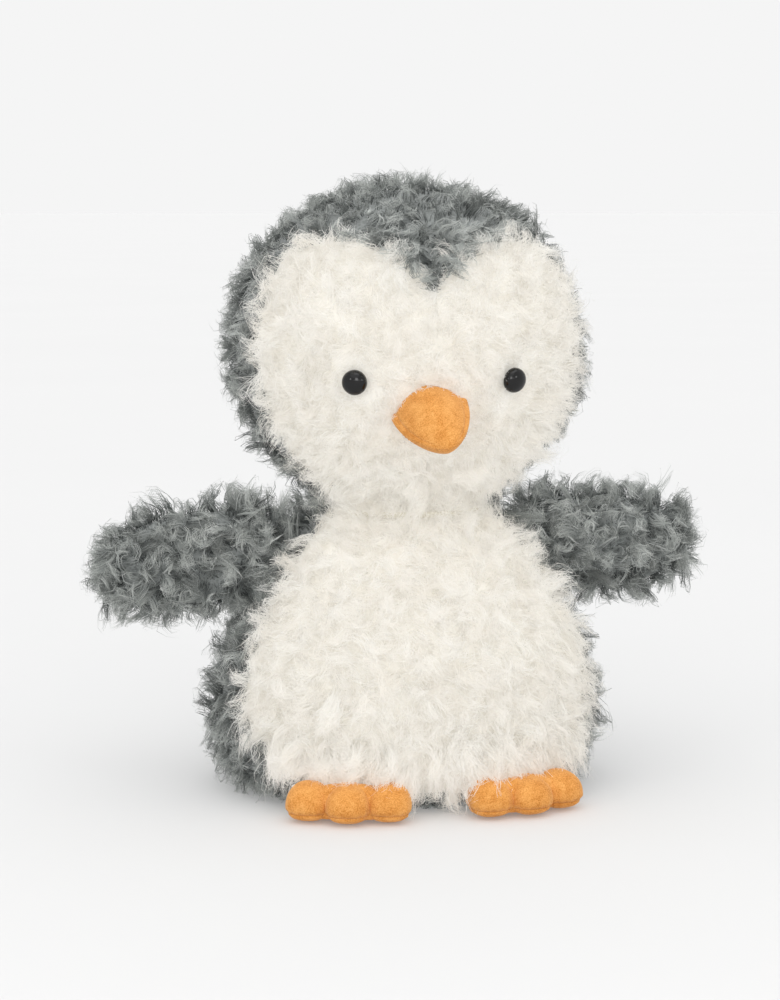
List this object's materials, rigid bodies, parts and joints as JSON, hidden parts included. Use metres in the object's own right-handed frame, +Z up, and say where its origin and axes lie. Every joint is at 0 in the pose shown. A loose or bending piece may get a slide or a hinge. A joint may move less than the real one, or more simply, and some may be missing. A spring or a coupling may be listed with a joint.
{
  "type": "plush penguin",
  "caption": "Standing stuffed penguin in long curly pile, with a heart-shaped face, a soft beak, jointed head, wings and feet, and a weighted base.",
  "frame": {"origin": "centre of the flat base panel, on the surface that the penguin stands on", "axes": "+Z up through the head, the face looks along -Y, and the penguin's own left wing is on the +X side"},
  "size_m": [0.1736, 0.1124, 0.1755],
  "materials": {
    "grey_pile": "matte",
    "cream_pile": "matte",
    "orange_suede": "matte",
    "orange_thread": "matte",
    "pale_thread": "matte",
    "fibre_fill": "matte",
    "pouch_cotton": "matte",
    "label_satin": "satin",
    "eye_plastic": "gloss",
    "washer_plastic": "matte",
    "pellet_plastic": "matte"
  },
  "bodies": {
    "torso": {"tummy_panel": "cream_pile", "back_panel_left": "grey_pile", "back_panel_right": "grey_pile", "base_panel": "grey_pile", "body_fill": "fibre_fill", "pellet_pouch": "pouch_cotton", "pellet_charge": "pellet_plastic", "closing_stitch": "pale_thread", "care_label": "label_satin"},
    "neck_ring": {"neck_thread": "pale_thread"},
    "neck": {"neck_fill": "fibre_fill"},
    "head": {"hood_panel_left": "grey_pile", "hood_panel_right": "grey_pile", "face_panel_left": "cream_pile", "face_panel_right": "cream_pile", "head_fill": "fibre_fill", "eye_left": "eye_plastic", "eye_right": "eye_plastic", "eye_washer_left": "washer_plastic", "eye_washer_right": "washer_plastic", "beak_upper": "orange_suede", "beak_lower": "orange_suede", "beak_fill": "fibre_fill"},
    "wing_left_root": {"wing_left_root_fill": "fibre_fill"},
    "wing_left": {"wing_left_front_panel": "grey_pile", "wing_left_back_panel": "grey_pile", "wing_left_fill": "fibre_fill"},
    "wing_right_root": {"wing_right_root_fill": "fibre_fill"},
    "wing_right": {"wing_right_front_panel": "grey_pile", "wing_right_back_panel": "grey_pile", "wing_right_fill": "fibre_fill"},
    "foot_left": {"foot_left_upper": "orange_suede", "foot_left_sole": "orange_suede", "foot_left_fill": "fibre_fill", "foot_left_toe_thread_inner": "orange_thread", "foot_left_toe_thread_outer": "orange_thread"},
    "foot_right": {"foot_right_upper": "orange_suede", "foot_right_sole": "orange_suede", "foot_right_fill": "fibre_fill", "foot_right_toe_thread_inner": "orange_thread", "foot_right_toe_thread_outer": "orange_thread"}
  },
  "joints": [
    {"name": "head_turn", "type": "hinge", "parent": "torso", "child": "neck_ring", "pos_m": [0, 0, 0.0845], "axis": [0, 0, 1], "range_deg": [-20, 20], "stiffness_Nm_per_rad": 0.12},
    {"name": "head_nod", "type": "hinge", "parent": "neck_ring", "child": "neck", "pos_m": [0, 0, 0.0845], "axis": [1, 0, 0], "range_deg": [-10, 12], "stiffness_Nm_per_rad": 0.25},
    {"name": "head_tilt", "type": "hinge", "parent": "neck", "child": "head", "pos_m": [0, 0, 0.0845], "axis": [0, 1, 0], "range_deg": [-10, 10], "stiffness_Nm_per_rad": 0.25},
    {"name": "wing_left_swing", "type": "hinge", "parent": "torso", "child": "wing_left_root", "pos_m": [0.04302, 0, 0.07], "axis": [0, 0, 1], "range_deg": [-20, 20], "stiffness_Nm_per_rad": 0.03},
    {"name": "wing_left_flap", "type": "hinge", "parent": "wing_left_root", "child": "wing_left", "pos_m": [0.04302, 0, 0.07], "axis": [0, -1, 0], "range_deg": [-25, 30], "stiffness_Nm_per_rad": 0.05},
    {"name": "wing_right_swing", "type": "hinge", "parent": "torso", "child": "wing_right_root", "pos_m": [-0.04302, 0, 0.07], "axis": [0, 0, -1], "range_deg": [-20, 20], "stiffness_Nm_per_rad": 0.03},
    {"name": "wing_right_flap", "type": "hinge", "parent": "wing_right_root", "child": "wing_right", "pos_m": [-0.04302, 0, 0.07], "axis": [0, 1, 0], "range_deg": [-25, 30], "stiffness_Nm_per_rad": 0.05},
    {"name": "foot_left_lift", "type": "hinge", "parent": "torso", "child": "foot_left", "pos_m": [0.0235, -0.0408, 0.004], "axis": [-0.9659, -0.2588, 0], "range_deg": [0, 25], "stiffness_Nm_per_rad": 0.05},
    {"name": "foot_right_lift", "type": "hinge", "parent": "torso", "child": "foot_right", "pos_m": [-0.0235, -0.0408, 0.004], "axis": [-0.9659, 0.2588, 0], "range_deg": [0, 25], "stiffness_Nm_per_rad": 0.05}
  ]
}
